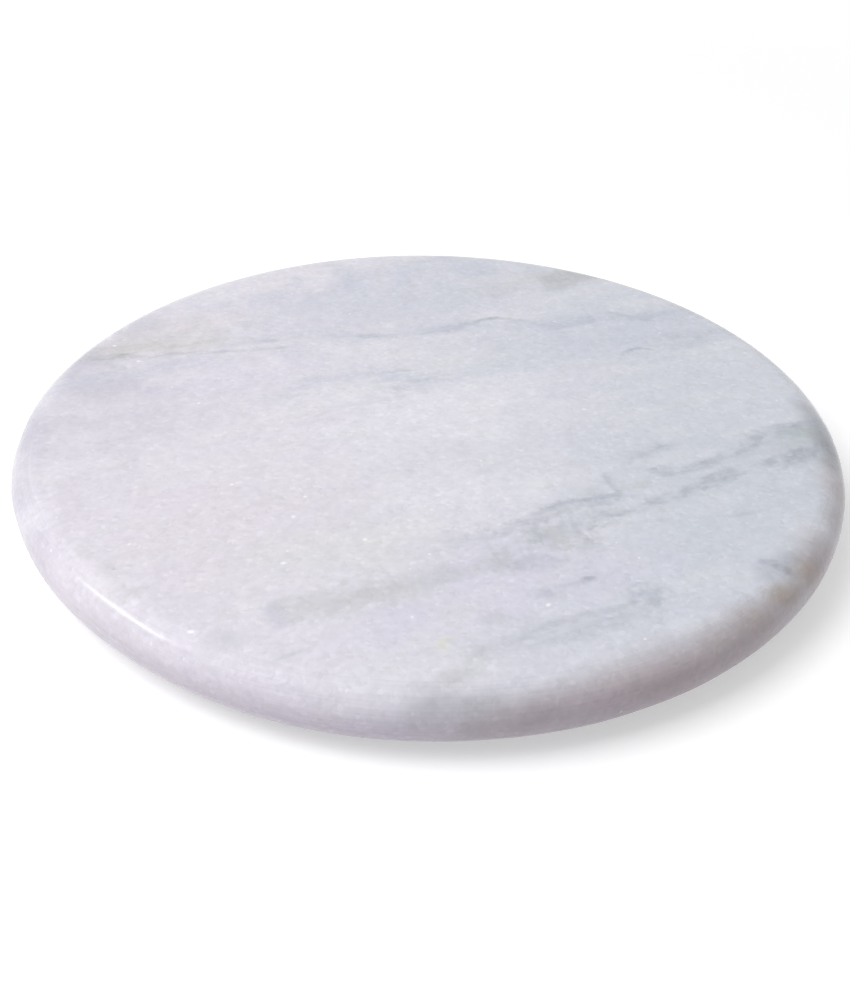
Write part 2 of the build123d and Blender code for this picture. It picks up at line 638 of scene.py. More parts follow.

# %% Stains in the rim, many of them also painted shade
ground = lay_stains_and_painted_light(ground, 0.5, [
    # Umber on the lower right of the rim: a brown stain that also paints the shade on the side turned from
    # the light.
    (umber, 0.35, (30, -128, 38, 9)),
    (umber, 0.5, (66, -114, 34, 13)),
    (umber, 0.5, (92, -98, 26, 15)),
    (umber, 0.5, (112, -72, 18, 18)),
    (umber, 0.5, (125, -40, 13, 20)),
    (umber, 0.3, (116, -51, 7, 10)),
    # Tan patches in the stone of the lower right rim.
    (tan, 0.1, (72, -102, 11, 5)),
    (tan, 0.22, (83, -94, 10, 5)),
    (tan, 0.52, (94.3, -84.6, 10, 5.2)),
    (tan, 0.4, (102, -75, 10, 7)),
    # Smoke and the long slate patch on the right of the rim: vein ends that also paint the shade there.
    (smoke, 0.8, (122.3, -15, 5.6, 11)),
    (smoke, 0.5, (119.5, -23.5, 5, 7)),
    (smoke, 0.45, (122, -4, 6, 10)),
    (smoke, 0.35, (120, 7, 5, 9)),
    (slate, 0.5, (127, -10, 7, 24)),
    # Slate spots on the lower right shoulder and at the back right.
    (slate, 0.45, (92, -76.5, 8, 5.5)),
    (slate, 0.35, (96, -71.5, 5.5, 4)),
    (slate, 0.2, (88, -79.5, 5, 3)),
    (slate, 0.15, (92, 77, 10, 10)),
    # Lilac grey round the left of the rim: painted shade that dims the side facing the light.
    (lilac_grey, 0.18, (-104, 61, 12, 18)),
    (lilac_grey, 0.5, (-124, 36, 14, 26)),
    (lilac_grey, 0.5, (-127, -8, 8, 30)),
    (lilac_grey, 0.3, (-119, -44, 9, 16)),
    (lilac_grey, 0.2, (-106, -72, 9, 14)),
    # Ash and smoke at the front of the rim: painted shade, darker towards the bottom.
    (ash, 0.15, (-77, -92, 7, 5)),
    (ash, 0.25, (-50, -109, 7, 5)),
    (ash, 0.3, (2, -125, 10, 5)),
    (smoke, 0.26, (4, -128.5, 11, 4.5)),
    (smoke, 0.22, (15, -129, 9, 5)),
    (smoke, 0.18, (27, -127.5, 9, 5)),
    (ash, 0.35, (13, -126, 8, 4)),
    (ash, 0.35, (9, -119, 6, 3.5)),
])

# %% Painted glints where large crystals flash
# White spots painted into the colour, standing in for the glints of large crystal faces that catch the
# light.
painted_glint_white = tone(250, 250, 253)
painted_glint_places = [
    (31, -93), (-17.5, -67), (-37, -57), (-58, -106), (-98, 30), (-108, 40), (48, 4),
    (-73, 3), (-80, -71), (-56, -42), (-35, -47), (-38, -78), (-30, 68),
]


def lay_veins(ground, heart, mottling, veins):
    """Lays veins over the ground; gives the new ground, and how deep in a vein each point lies."""
    for vein_tone, strength, patchiness, course in veins.values():
        share = vein(colour, along, across, course, patchiness, Fray=fine_fray, Mottle=mottling)
        share = times(colour, share, strength)
        ground = layer(colour, share, ground, vein_tone)
        heart = maths(colour, "MAXIMUM", heart, share)
    print(", ".join(veins))
    return ground, heart


# %% Veins on the near side
near_veins = {
    "broad_band": (green_grey, 0.28, 0.3, [
        (-43, -100, 1.5, 0), (-39, -99, 4.5, 0.7), (-35, -97.5, 6.5, 0.95), (-26, -94.5, 6.8, 1),
        (-18, -91, 6.8, 1), (-9, -88, 6.8, 1), (-1, -84, 6.8, 0.7), (5, -81.5, 5.6, 0.7),
        (10, -80, 3.8, 0.7), (17, -78, 2.4, 0.3), (24, -76, 2, 0),
    ]),
    "blob_link": (slate, 0.34, 0.4, [
        (21, -79, 2, 0), (25, -75.5, 3.4, 0.9), (28, -73.5, 3, 0.8), (33, -73, 2.4, 0.5), (38, -72, 2, 0),
    ]),
    "lower_strand": (slate, 0.3, 0.6, [
        (18, -109.5, 1.5, 0), (22, -107, 2, 0.35), (26, -103.5, 2, 0.5), (31, -100.5, 1.8, 0.9),
        (36, -98.5, 1.8, 1), (42, -96, 1.6, 0.8), (48, -93.5, 1.4, 0.8), (54, -91, 1, 0),
    ]),
    "lower_haze": (slate, 0.24, 0.6, [
        (12, -113, 3, 0), (24, -107, 5, 0.8), (38, -102, 5.5, 0.9), (52, -96, 5, 0.6), (68, -90, 3, 0),
    ]),
    "tail": (slate, 0.25, 0.6, [
        (30, -86.5, 1, 0), (35, -84.8, 1.1, 0.5), (39, -83.5, 1.4, 0.9), (43, -82, 1.3, 0.6),
        (47, -80.5, 1, 0),
    ]),
    "left_nick": (slate, 0.25, 0.5, [
        (-37, -116, 0.8, 0), (-34.5, -114.5, 1, 0.9), (-32, -113, 1, 0.9), (-29, -111.5, 0.8, 0),
    ]),
}
ground, vein_heart = lay_veins(ground, 0.0, streaky, near_veins)

# %% Veins in the middle
middle_veins = {
    "upper_strand": (slate, 0.29, 0.6, [
        (-8, -75, 2, 0), (-2, -73, 3, 0.35), (6, -69, 3, 0.5), (14, -65.5, 3, 0.65), (22, -60.5, 3.4, 0.85),
        (30, -54.5, 3.8, 0.95), (37, -50, 4, 1), (44, -47, 3.8, 0.9), (50, -45, 3.6, 0.9),
        (56, -44.5, 3, 0.6), (63, -43, 2, 0),
    ]),
    "upper_strand_edge": (slate, 0.37, 0.4, [
        (28, -54, 1, 0), (33, -51, 1.6, 0.9), (38, -48.3, 1.7, 1), (44, -46, 1.5, 0.7),
        (50, -43.8, 1.7, 1), (55, -43, 1, 0),
    ]),
    "upper_strand_foot": (slate, 0.25, 0.4, [
        (26, -59.5, 1, 0), (32, -55.5, 1.6, 0.7), (40, -51, 1.7, 0.7), (48, -48, 1.6, 0.7), (56, -46, 1, 0),
    ]),
}
ground, vein_heart = lay_veins(ground, vein_heart, streaky, middle_veins)

# %% Veins on the right
right_veins = {
    "second_strand": (slate, 0.48, 0.9, [
        (34, -61, 2, 0), (40, -58.5, 4, 0.6), (46, -56, 5, 0.7), (52, -52.5, 4.2, 0.8),
        (58, -49.8, 2.8, 0.5), (64, -46.5, 3, 0.8), (70, -43.5, 2.8, 0.6), (76, -39.5, 3, 0.7),
        (81, -36, 3.6, 1), (88, -31.7, 3.8, 1), (94, -28.5, 2.6, 0.5), (100, -25.5, 3.6, 0.6),
        (106, -24.5, 4.4, 0.9), (112, -20, 4.4, 0.8), (118, -16.5, 3.8, 0.8), (126, -13, 3.4, 0.6),
    ]),
    "middle_strand": (slate, 0.44, 0.9, [
        (61, -30, 2, 0), (65, -30.3, 3.2, 0.4), (69, -31, 4, 0.8), (75, -29.5, 3.2, 0.8),
        (82, -26.5, 3, 0.8), (88, -23, 3, 0.6), (94, -19, 4, 0.65), (99, -12, 4.6, 0.7),
        (104, -7.5, 4.4, 0.6), (110, -4.5, 3.6, 0.9), (118, -1.8, 2.8, 0.7), (126, 1, 2, 0.6),
    ]),
    "spur": (slate, 0.4, 0.9, [
        (56, -28, 2, 0), (59.5, -25, 2.8, 0.3), (63, -22.4, 3, 0.4), (66, -20.7, 2.4, 0.45),
        (69.5, -18.6, 3.4, 1), (73.5, -16.8, 2, 0.4), (79, -14.5, 1, 0),
    ]),
    "shoulder_streak": (graphite, 0.2, 0.8, [
        (84, -73.5, 2, 0), (88.6, -73.6, 3.4, 0.7), (91.7, -74.8, 4, 1), (94.8, -76.4, 4, 0.9),
        (98.5, -78, 3, 0),
    ]),
    "right_threads": (slate, 0.22, 0.5, [
        (54, -58, 1, 0), (60, -56, 1.4, 0.7), (66, -55, 1.3, 0.7), (72, -54, 1.2, 0.1), (82, -53, 1.2, 0.2),
        (88, -51.5, 1.4, 0.8), (95, -48, 1.2, 0.3), (104, -45, 1, 0),
    ]),
    "east_band": (slate, 0.24, 0.6, [
        (66, 46.5, 3, 0), (76, 49, 6, 0.5), (84, 51.5, 7.4, 0.9), (92, 54, 6.6, 0.9), (100, 58, 5, 0.7),
        (110, 63, 4.6, 0.6), (124, 70, 4, 0.4),
    ]),
    "curved_crack": (slate, 0.6, 0.3, [
        (61.5, 36.5, 1, 0), (63.4, 39, 1.8, 0.25), (65.2, 41.6, 1.9, 0.45), (67.3, 43.8, 1.4, 0.7),
        (69.8, 45.3, 1.1, 1), (72.4, 45.9, 1.1, 1), (74.4, 45.6, 0.9, 0.7), (77, 44.8, 0.6, 0),
    ]),
}
ground, vein_heart = lay_veins(ground, vein_heart, broken, right_veins)

# %% Veins on the left and at the back
back_veins = {
    "west_line": (ash, 0.64, 0.8, [
        (-124, 28, 2, 0.4), (-117, 30.5, 2.2, 0.6), (-110, 32, 2.4, 0.7), (-103, 33.6, 2.8, 0.95),
        (-96, 33.3, 2.4, 0.75), (-88, 35, 2, 0.6), (-80, 36.5, 1.8, 0.6), (-72, 37.3, 1.7, 0.5),
        (-64, 38.3, 1.6, 0.3), (-55, 40.5, 1.6, 0.2), (-47, 42, 1, 0),
    ]),
    "west_haze": (olive, 0.34, 0.8, [
        (-120, 33, 3, 0), (-112, 36, 4, 0.6), (-100, 39, 6, 1), (-88, 42, 6, 0.9),
        (-74, 44, 5, 0.6), (-60, 46, 3, 0),
    ]),
    "north_marks": (slate, 0.45, 0.6, [
        (-66, 44, 1, 0), (-60, 45, 1.6, 0.35), (-55, 46.4, 2, 0.65), (-51, 47, 1.6, 0.35),
        (-46, 48.5, 2, 0.3), (-42, 49, 2, 0.35), (-34, 50, 1.8, 0.2), (-24, 51, 2.2, 0.65),
        (-17, 51.6, 2.4, 0.7), (-11, 52, 2, 0.4), (-4, 54.5, 2.4, 0.3), (2, 57, 3.5, 0.7),
        (7, 58.5, 3.3, 0.9), (12, 61.5, 2.6, 0.7), (17, 65, 2, 1), (20, 66.3, 2.2, 1),
        (24, 66.8, 1.8, 0.7), (28, 65.8, 2, 0.4), (34, 64, 2.6, 0.5), (39, 61.6, 3.6, 0.9),
        (43.5, 60.8, 3.6, 0.9), (49, 63.4, 3.2, 0.7), (54, 65.6, 3.4, 0.8), (57.5, 68, 3.8, 0.45),
        (60.5, 70.3, 3, 0.05), (64, 71.3, 3, 0.2), (67.5, 70.6, 3.8, 0.85), (72, 69.2, 3.6, 0.7),
        (76, 69.4, 3.8, 0.9), (80, 71, 3.4, 0.7), (85, 73.5, 2.6, 0.4), (91, 76.5, 1.8, 0.2), (98, 79, 1, 0),
    ]),
    "north_haze": (blue_cloud, 0.42, 0.6, [
        (-30, 52, 3, 0), (-5, 56, 5, 0.6), (12, 60, 6, 0.8), (40, 63, 6, 0.9), (62, 68, 6, 0.5),
        (85, 72, 5, 0.5), (104, 78, 4, 0.4),
    ]),
    "middle_marks": (slate, 0.4, 0.5, [
        (-20, 23.5, 1, 0), (-14, 25.2, 1.6, 0.9), (-11, 26.8, 1.4, 0.9), (-7, 27.4, 1.1, 0.4),
        (-3, 27.5, 0.8, 0),
    ]),
    "middle_marks_below": (slate, 0.38, 0.5, [
        (-10, 19.5, 1, 0), (-6, 20.5, 1.5, 0.9), (-3, 21.2, 1.4, 1), (0, 21.8, 1.1, 0.5), (4, 22.5, 0.8, 0),
    ]),
    "middle_cloud": (blue_cloud, 0.38, 0.7, [
        (-62, 2, 4, 0), (-45, 12.5, 6.5, 0.6), (-38, 19, 7, 0.8), (-30, 22, 7.5, 0.8), (-14, 22, 9.5, 1),
        (0, 22.5, 9, 0.9), (16, 27, 7.5, 0.7), (28, 31, 7, 0.6), (42, 34, 6, 0.3), (60, 38, 4, 0),
    ]),
    "lower_cloud": (lilac_grey, 0.1, 0.8, [
        (-46, -14, 3, 0), (-36, -8, 5, 0.6), (-26, 1, 5.5, 0.9), (-17, 7, 6, 1), (-10, 12.5, 6, 1),
        (0, 18, 5, 0.5), (8, 22, 3, 0),
    ]),
    "west_cloud": (blue_cloud, 0.4, 0.8, [
        (-124, 8, 3, 0.2), (-114, 16, 5.5, 0.8), (-102, 19, 6.5, 0.9), (-90, 27, 5.5, 0.8),
        (-72, 30, 5.5, 0.5), (-52, 33, 4, 0),
    ]),
}
ground, vein_heart = lay_veins(ground, vein_heart, streaky, back_veins)

# %% Crystals over all
grain_contrast = 0.125
mean_tint = 1.435
painted_glint_halves_mm = (0.8, 0.7)

crystals = place(colour, grain, {"Place": given["Place"]})
shade = times_plus(colour, crystals["Tint"], grain_contrast, 1 - grain_contrast * mean_tint)
ground = layer(colour, 1.0, ground, shade, "MULTIPLY")
# Painted sparkle and painted glints: white spots laid into the colour, standing in for crystal faces that
# flash.
ground = layer(colour, crystals["Painted Sparkle"], ground, painted_glint_white)
painted_glints = [(painted_glint_white, 0.9, (x, y, *painted_glint_halves_mm)) for x, y in painted_glint_places]
ground = lay_stains_and_painted_light(ground, fine_fray, painted_glints)
fill(colour, gives["Color"], ground)
fill(colour, gives["Vein"], vein_heart)
fill(colour, gives["Painted Sparkle"], crystals["Painted Sparkle"])
print("marble colour:", len(colour.nodes), "nodes")

# %% [markdown]
# ## Marks of the tools
# Three tools have left their marks. The top was polished flat, with faint waves and hairline
# scratches. The rim was ground while the disc turned, which leaves fine lines round it. The
# underside is as the saw left it. The lines round the rim can't be drawn from an angle,
# because an angle jumps where the circle closes. A noise in four dimensions has no such seam:
# it moves slowly with the direction and fast with the distance from the axis and the height.

# %% Lines round the rim, and saw lines
changes_round_rim = 2.2
saw_heading = math.radians(63)
saw_squeeze = (0.015, 1.0, 1.0)

lines, given, gives = new_group("turned_lines", {"Place": (0, 0, 0), "Pitch": 0.6}, {"Lines": "Float"})
flat = vectors(lines, "MULTIPLY", given["Place"], (1, 1, 0))
direction = parts(lines, scaled(lines, vectors(lines, "NORMALIZE", flat), changes_round_rim))
radial = maths(lines, "DIVIDE", length(lines, flat), given["Pitch"])
height = maths(lines, "DIVIDE", parts(lines, given["Place"])["Z"], given["Pitch"])
seamless = add(lines, "CombineXYZ", {"X": direction["X"], "Y": direction["Y"], "Z": radial}).outputs[0]
ridges = speckle(lines, seamless, 1.0, 2.0, 0.6, noise_dimensions="4D")
fill(lines, ridges.node.inputs["W"], height)
fill(lines, gives["Lines"], ridges)

sawn, given, gives = new_group("saw_lines", {"Place": (0, 0, 0), "Pitch": 1.4}, {"Lines": "Float"})
pulled = vectors(sawn, "MULTIPLY", turned(sawn, given["Place"], saw_heading), saw_squeeze)
per_pitch = scaled(sawn, pulled, maths(sawn, "DIVIDE", 1.0, given["Pitch"]))
fill(sawn, gives["Lines"], speckle(sawn, per_pitch, 1.0, 3.0, 0.6))

# %% [markdown]
# ## Scratches and dust
# A scratch is a long thin line, and many are needed in many directions. Stretching a cell
# pattern until its cells are long slivers gives hairlines all one way, so three turned copies
# are laid together. Dust is simpler: it gathers in patches, in specks finer than a
# millimetre. The dust is used on the sawn stone, the rubber and the glue.

# %% Hairlines and dust
hairline_turns = (0.35, 1.6, 2.5)
hairline_length_mm = 34.0
hairline_width_mm = 0.5
hairline_cell_scale = 0.28
hairline_share = 0.1
dust_patch_mm = 14
dust_specks_a_mm = 1.7

hairs, given, gives = new_group("hairlines", {"Place": (0, 0, 0), "Amount": 0.5}, {"Hairlines": "Float"})
deepest = 0.0
for turn in hairline_turns:
    swing = turned(hairs, given["Place"], turn)
    slivers = vectors(hairs, "DIVIDE", swing, (hairline_length_mm, hairline_width_mm, hairline_length_mm))
    sliver = cell_pattern(hairs, slivers, hairline_cell_scale)
    chosen = maths(hairs, "GREATER_THAN", one_channel(hairs, sliver["Color"], 0), 1 - hairline_share)
    line = step(hairs, sliver["Distance"], 0.14, 0.02)
    deepest = maths(hairs, "MAXIMUM", deepest, times(hairs, chosen, line))
fill(hairs, gives["Hairlines"], times(hairs, deepest, given["Amount"]))

dust, given, gives = new_group("settled_dust", {"Place": (0, 0, 0), "Amount": 0.5}, {"Dust": "Float"})
patches = step(dust, speckle(dust, given["Place"], 1 / dust_patch_mm, 3.0), 0.38, 0.72)
specks = step(dust, speckle(dust, given["Place"], dust_specks_a_mm, 3.0, 0.7), 0.45, 0.75)
settled = times_plus(dust, patches, 0.55, times(dust, specks, 0.45))
fill(dust, gives["Dust"], times(dust, settled, given["Amount"]))

# %% [markdown]
# ## The marble's finish
# One material covers the whole slab, and the way the surface faces says which tool finished
# it: up is polished, down is sawn, and the rest is ground. The heights go to a Bump node in
# millimetres. Light also enters marble and comes out a few millimetres away, which softens the
# rim, so the shader has some subsurface scattering.

# %% The marble material
polished_roughness = 0.27
ground_roughness = 0.15
sawn_roughness = 0.76
polish_wave_mm = 0.012
ground_line_mm = 0.014
saw_line_mm = 0.05
scratch_mm = 0.006
crystal_relief_mm = 0.003
polish_wave_length_mm = 11
smudge_length_mm = 24
rim_pitch_mm = 0.55
saw_pitch_mm = 1.5
light_depth_mm = 3.0
top_facing = (0.90, 0.99)
sawn_facing = (-0.90, -0.98)


def facing_up(tree):
    """How far a surface faces up: 1 level and upwards, -1 level and downwards."""
    return parts(tree, add(tree, "TexCoord").outputs["Normal"])["Z"]


marble, tree, shader = new_material("marble")
place_mm = millimetres(tree)
stone = place(tree, colour, {"Place": place_mm})
facing = facing_up(tree)
top_share = step(tree, facing, *top_facing)
sawn_share = step(tree, facing, *sawn_facing)
rim_share = maths(tree, "SUBTRACT", maths(tree, "SUBTRACT", 1.0, top_share), sawn_share)

rim_lines = place(tree, lines, {"Place": place_mm, "Pitch": rim_pitch_mm})["Lines"]
saw_marks = place(tree, sawn, {"Place": place_mm, "Pitch": saw_pitch_mm})["Lines"]
scratches = place(tree, hairs, {"Place": place_mm, "Amount": 1.0})["Hairlines"]
stone_dust = place(tree, dust, {"Place": place_mm, "Amount": 1.0})["Dust"]
waves = speckle(tree, place_mm, 1 / polish_wave_length_mm, 2.0)

# %% Colour of the finished marble
line_tints = (0.965, 1.02)
saw_paleness = 0.7
scratch_paleness = 0.06

line_tint = step(tree, rim_lines, 0.3, 0.7, *line_tints)
finished = layer(tree, rim_share, stone["Color"], layer(tree, 1.0, stone["Color"], line_tint, "MULTIPLY"))
saw_tint = layer(tree, step(tree, saw_marks, 0.3, 0.7), tone(196, 195, 196), tone(222, 221, 222))
saw_colour = layer(tree, times(tree, stone_dust, saw_paleness), stone["Color"], saw_tint)
finished = layer(tree, sawn_share, finished, saw_colour)
finished = layer(tree, times(tree, scratches, scratch_paleness), finished, tone(245, 245, 246))

# %% Roughness and relief of the finished marble
crystals_roughen = 0.04
smudges_roughen = (0.02, 0.08)
sparkles_smooth = 0.05
veins_roughen = 0.08

crystal_edges = speckle(tree, place_mm, 1 / crystal_mm, 2.0)
smudges = speckle(tree, place_mm, 1 / smudge_length_mm, 4.0, 0.6)
uneven = times_plus(tree, crystal_edges, crystals_roughen, step(tree, smudges, 0.3, 0.75, *smudges_roughen))
rough = times_plus(tree, top_share, polished_roughness - ground_roughness, ground_roughness)
rough = times_plus(tree, sawn_share, sawn_roughness - ground_roughness, rough)
rough = times_plus(tree, stone["Painted Sparkle"], -sparkles_smooth, maths(tree, "ADD", rough, uneven))
rough = times_plus(tree, stone["Vein"], veins_roughen, rough)

relief = times(tree, waves, polish_wave_mm)
relief = times_plus(tree, crystal_edges, crystal_relief_mm, relief)
relief = times_plus(tree, scratches, -scratch_mm, relief)
relief = times_plus(tree, rim_lines, times(tree, rim_share, ground_line_mm), relief)
relief = times_plus(tree, saw_marks, times(tree, sawn_share, saw_line_mm), relief)
raise_surface(tree, shader, relief)
fill_all(tree, shader, {
    "Base Color": finished,
    "Roughness": rough,
    "IOR": 1.5,
    "Subsurface Weight": 0.25,
    "Subsurface Radius": (1.0, 0.9, 0.8),
    "Subsurface Scale": light_depth_mm * MM,
})
print("marble material:", len(tree.nodes), "nodes")

# %% [markdown]
# ## The slab
# The slab is turned, so half of its section spun about the axis makes it whole. The section is
# a flat top, a wide elliptical round, a narrow upright band, a tighter round, and the flat
# sawn underside that cuts that round off in an arris. A beveled cylinder would be quicker, but
# a bevel's round is a part of a circle, and the hand-ground one is flatter above than below.

# %% Section of the slab
top_round_width = 9.0 * MM
top_round_height = 8.6 * MM
lower_round_width = 7.5 * MM
lower_round_height = 9.6 * MM
arris_height = 1.1 * MM
round_steps = 22
flat_shares = (0.0, 0.3, 0.55, 0.75, 0.88, 0.95)

board_radius = slab_high.x
band_top = slab_high.z - top_round_height
band_bottom = slab_low.z + lower_round_height - arris_height
rolling_radius = board_radius - top_round_width
lower_centre = board_radius - lower_round_width
arris_turn = math.asin(1 - arris_height / lower_round_height)
underside_radius = lower_centre + lower_round_width * math.cos(arris_turn)


def rounded(centre, width, level, height, first, last):
    """Points of an elliptical round about a centre and level, from one turn to another."""
    turns = [first + (last - first) * number / round_steps for number in range(round_steps + 1)]
    return [(centre + width * math.cos(turn), level + height * math.sin(turn)) for turn in turns]


section = [(rolling_radius * share, slab_high.z) for share in flat_shares]
section += rounded(rolling_radius, top_round_width, band_top, top_round_height, math.pi / 2, 0)
section += rounded(lower_centre, lower_round_width, band_bottom, lower_round_height, 0, -arris_turn)
section += [(underside_radius * share, slab_low.z) for share in reversed(flat_shares)]
print("section of", len(section), "points, widest", round(board_radius / MM, 2), "mm")

# %% Spin the section
around = 840
arris_ease = 0.4 * MM
on_spot = 0.01 * MM


def close_up(shape):
    """Merges doubles, which closes poles and seams, and turns every face outwards."""
    bmesh.ops.remove_doubles(shape, verts=shape.verts, dist=0.002 * MM)
    bmesh.ops.dissolve_degenerate(shape, edges=shape.edges, dist=0.001 * MM)
    bmesh.ops.recalc_face_normals(shape, faces=shape.faces)


def spun(profile, steps):
    """A closed body turned from half of its section, given as (distance from the axis, height)."""
    shape = bmesh.new()
    points = [shape.verts.new((distance, 0, height)) for distance, height in profile]
    edges = [shape.edges.new(pair) for pair in zip(points, points[1:])]
    full = {"angle": math.tau, "steps": steps, "use_merge": True, "axis": (0, 0, 1), "cent": (0, 0, 0)}
    bmesh.ops.spin(shape, geom=points + edges, **full)
    close_up(shape)
    return shape


def on_arris(point):
    """Whether a point of the slab lies on its sawn arris."""
    return abs(point.co.z - slab_low.z) < on_spot and point.co.xy.length > underside_radius - on_spot


slab = spun(section, around)
arris_edges = [edge for edge in slab.edges if all(on_arris(end) for end in edge.verts)]
eased = {"offset": arris_ease, "offset_type": "OFFSET", "segments": 3, "profile": 0.5}
bmesh.ops.bevel(slab, geom=arris_edges, affect="EDGES", material=-1, **eased)
print("slab:", len(slab.verts), "points,", len(arris_edges), "arris edges eased")

# %% [markdown]
# ## The maker's hand
# A wheel-ground rim isn't a perfect circle. The photographed outline is pressed in a little
# at the front left and swells at the left, by up to about a millimetre, and the surface
# ripples where the grinder dwelt. A Displace modifier could do it, but only with a texture;
# moving the points is as short and says how far each swelling goes. The top stays flat,
# because there the points only slide sideways.

# %% Grind the rim by hand
swellings = [
    (178, 0.65, 13), (232, -0.6, 15), (206, 0.2, 9), (258, 0.35, 12), (130, -0.35, 20), (282, 0.25, 14),
    (20, -0.15, 18), (335, 0.12, 16), (172, 0.3, 7), (195, 0.9, 8),
]
ripple_mm = 0.10
ripple_length_mm = 11.0
swelling_reach_share = 0.7


def swelling_at(direction):
    """How far the rim stands out in a direction; a swelling is (degrees, mm, half width in degrees)."""
    total = 0.0
    for middle, height_mm, half_width in swellings:
        away = (math.degrees(direction) - middle + 180) % 360 - 180
        total += height_mm * MM * math.exp(-((away / half_width) ** 2))
    return total


slab.normal_update()
for point in slab.verts:
    distance = point.co.xy.length
    if distance < swelling_reach_share * board_radius:
        continue
    reach = (distance / board_radius - swelling_reach_share) / (1 - swelling_reach_share)
    out = point.co.xy.normalized().to_3d()
    side = 1 - abs(point.normal.z)
    ripple = noise.noise(point.co / MM / ripple_length_mm) * ripple_mm * MM
    direction = math.atan2(point.co.y, point.co.x)
    point.co += out * swelling_at(direction) * reach**2
    point.co += point.normal * ripple * min(1.0, 3 * side)
print("rim swells up to", max(height for _, height, _ in swellings), "mm")

# %% [markdown]
# ## Chips
# Marble chips where it is thin, so most of the nicks are along the sawn arris, where nobody
# polished them, and a few tiny ones are on the shoulder. Each is a shallow hollow with a
# ragged edge, pressed into the points near it; a tree of points finds those quickly.

# %% Nick the arris and the shoulder
chips = random.Random(11)
arris_chips = 38
arris_chip_sizes_mm = (0.9, 2.8)
arris_chip_depths_share = (0.12, 0.25)
shoulder_chips = 7
shoulder_chip_sizes_mm = (0.7, 1.3)
shoulder_chip_depth_share = 0.12
shoulder_chip_leans = (0.35, 1.2)
chip_edges_a_mm = 1.3

finder = kdtree.KDTree(len(slab.verts))
for point in slab.verts:
    finder.insert(point.co, point.index)
finder.balance()
slab.verts.ensure_lookup_table()


def chip(middle, size, depth):
    """Presses a ragged hollow of this size and depth into the slab."""
    for place_found, number, away in finder.find_range(middle, size):
        point = slab.verts[number]
        ragged = 0.75 + 0.5 * noise.noise(place_found / MM * chip_edges_a_mm)
        hollow = max(0.0, ragged - (away / size) ** 2)
        point.co -= point.normal * depth * hollow


for _ in range(arris_chips):
    direction = chips.uniform(0, math.tau)
    size = chips.uniform(*arris_chip_sizes_mm) * MM
    middle = Vector((math.cos(direction), math.sin(direction), 0)) * underside_radius
    chip(middle + Vector((0, 0, slab_low.z)), size, size * chips.uniform(*arris_chip_depths_share))
for _ in range(shoulder_chips):
    direction = chips.uniform(0, math.tau)
    lean = chips.uniform(*shoulder_chip_leans)
    distance = rolling_radius + top_round_width * math.sin(lean)
    middle = Vector((math.cos(direction) * distance, math.sin(direction) * distance, 0))
    middle.z = band_top + top_round_height * math.cos(lean)
    size = chips.uniform(*shoulder_chip_sizes_mm) * MM
    chip(middle, size, size * shoulder_chip_depth_share)
print(arris_chips + shoulder_chips, "chips")

# %% Hang the slab on the frame


def finish_piece(shape, name, material, node):
    """Turns a bmesh into an object that replaces a CAD node, with its material, and rides with it."""
    mesh = bpy.data.meshes.new(name)
    bmesh.ops.recalc_face_normals(shape, faces=shape.faces)
    for face in shape.faces:
        face.smooth = True
    shape.to_mesh(mesh)
    shape.free()
    mesh.materials.append(material)
    piece = in_scene(name, mesh)
    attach(piece, "root")
    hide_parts(node)
    triangles = sum(len(face.vertices) - 2 for face in mesh.polygons)
    print(name, triangles, "triangles, size in mm", [round(side / MM, 1) for side in piece.dimensions])


finish_piece(slab, "marble_board", marble, "marble_slab")

# %% [markdown]
# ## Rubber
# The feet are moulded rubber: near black, greyed by dust and by the bloom that rubber sweats
# out, and painted lighter on the soles, where they have rubbed on worktops: wear, and a painted
# sheen. The colour never gets as dark as paint, and the roughness is high but uneven.

# %% The rubber material
bloom_patch_mm = 5
skin_grains_a_mm = 3.2
skin_relief_mm = 0.02

rubber, tree, shader = new_material("foot_rubber")
place_mm = millimetres(tree)
foot_dust = place(tree, dust, {"Place": place_mm, "Amount": 1.0})["Dust"]
bloom = step(tree, speckle(tree, place_mm, 1 / bloom_patch_mm, 4.0, 0.6), 0.35, 0.75)
moulded = layer(tree, bloom, tone(34, 34, 36), tone(52, 52, 54))
# Painted sheen and wear: the soles are painted a lighter grey where they rub on worktops.
sole_share = step(tree, facing_up(tree), -0.8, -0.97)
rubbed_with_sheen = layer(tree, times(tree, sole_share, 0.5), moulded, tone(70, 69, 68))
skin = speckle(tree, place_mm, skin_grains_a_mm, 3.0, 0.6)
raise_surface(tree, shader, times(tree, skin, skin_relief_mm))
fill_all(tree, shader, {
    "Base Color": layer(tree, times(tree, foot_dust, 0.3), rubbed_with_sheen, tone(150, 147, 142)),
    "Roughness": times_plus(tree, foot_dust, 0.25, step(tree, bloom, 0, 1, 0.5, 0.66)),
    "IOR": 1.52,
})

# %% [markdown]
# ## Feet
# Each foot is a moulded bumper: a tapered plug with a dished sole. The mould was in two
# halves, so a thin line of flash runs round it where they met, and the rubber went in at the
# middle of the dish, where a cut-off nib remains. Two grooves round the sole let it grip.

# %% Model a foot
foot_segments = 96
sole_ring_width = 4.5 * MM
sole_dish_depth = 1.0 * MM
foot_sole_share = 19.0 / 22.0
flash_height_share = 0.62
flash = 0.12 * MM
groove = 0.35 * MM
groove_places_share = (0.68, 0.34)
groove_set_in = 0.15 * MM
head_edge = 0.2 * MM
sole_edge = 0.9 * MM
sole_edge_steps = 6
dish_lip = 0.3 * MM
lip_bend = 0.08 * MM
lip_bend_height = 0.1 * MM
dish_slope = 0.35 * MM
nib_radius = 1.1 * MM
nib_slope = 0.2 * MM
nib_edge = 0.3 * MM
nib_height = 0.35 * MM


